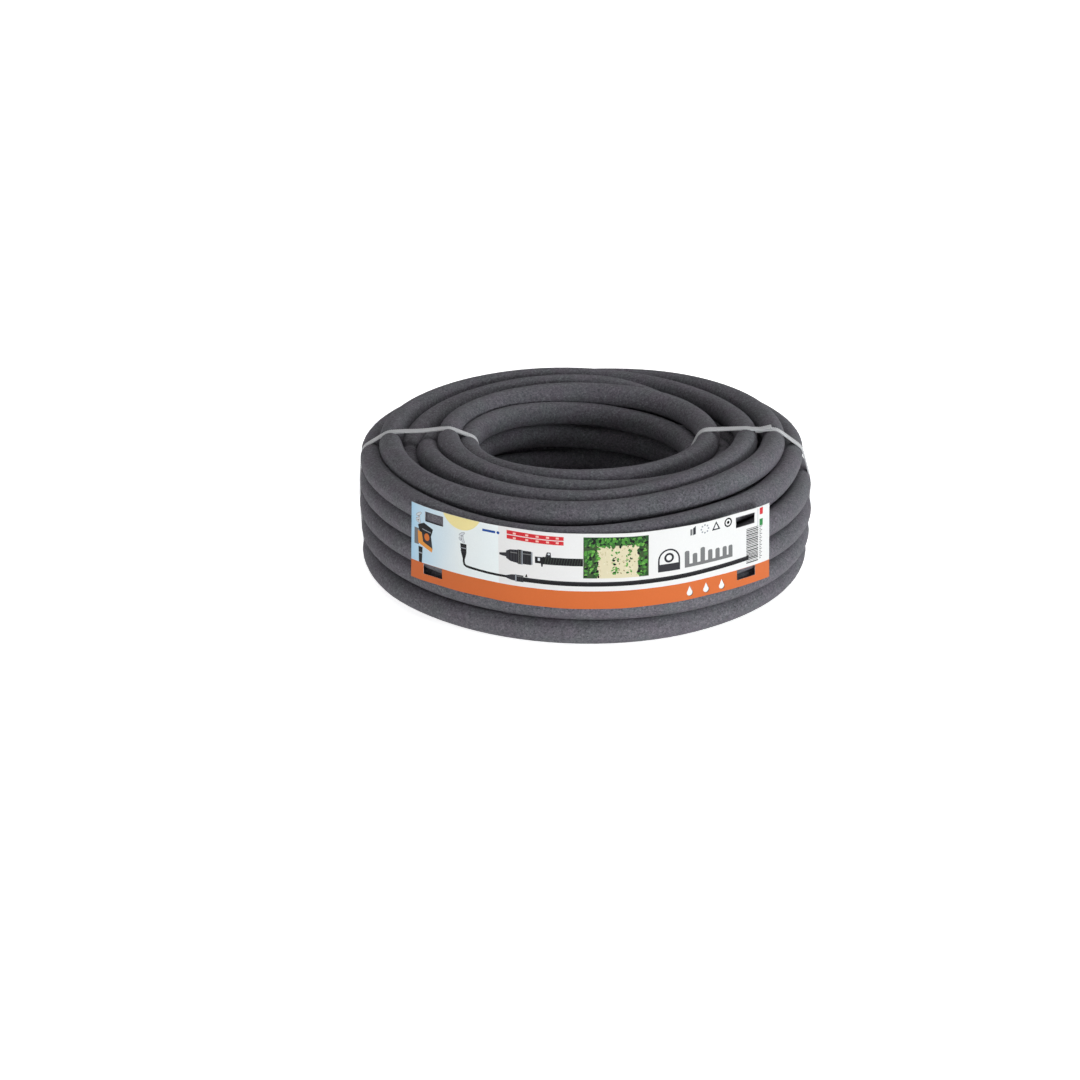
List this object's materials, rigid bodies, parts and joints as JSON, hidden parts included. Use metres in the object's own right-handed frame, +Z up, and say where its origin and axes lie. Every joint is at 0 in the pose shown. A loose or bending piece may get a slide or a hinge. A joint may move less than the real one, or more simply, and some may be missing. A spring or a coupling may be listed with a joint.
{
  "type": "soaker hose",
  "caption": "Porous rubber soaker hose wound into a flat round coil, held by two ties, with a wrapped label and two open ends for fittings.",
  "frame": {"origin": "on the floor under the centre of the coil", "axes": "+Z up along the coil's axis, -Y towards the middle of the label, -X and +X towards the ties"},
  "size_m": [0.3586, 0.3594, 0.106],
  "materials": {
    "porous_rubber": "matt, finely mottled porous rubber",
    "tie_plastic": "ribbed flat strap, light grey",
    "label_print": "printed film, satin"
  },
  "bodies": {
    "root": {"hose_coil": "porous_rubber", "hose_outer_end": "porous_rubber", "hose_inner_end": "porous_rubber", "tie_left": "tie_plastic", "tie_right": "tie_plastic", "label_band": "label_print"}
  },
  "joints": []
}
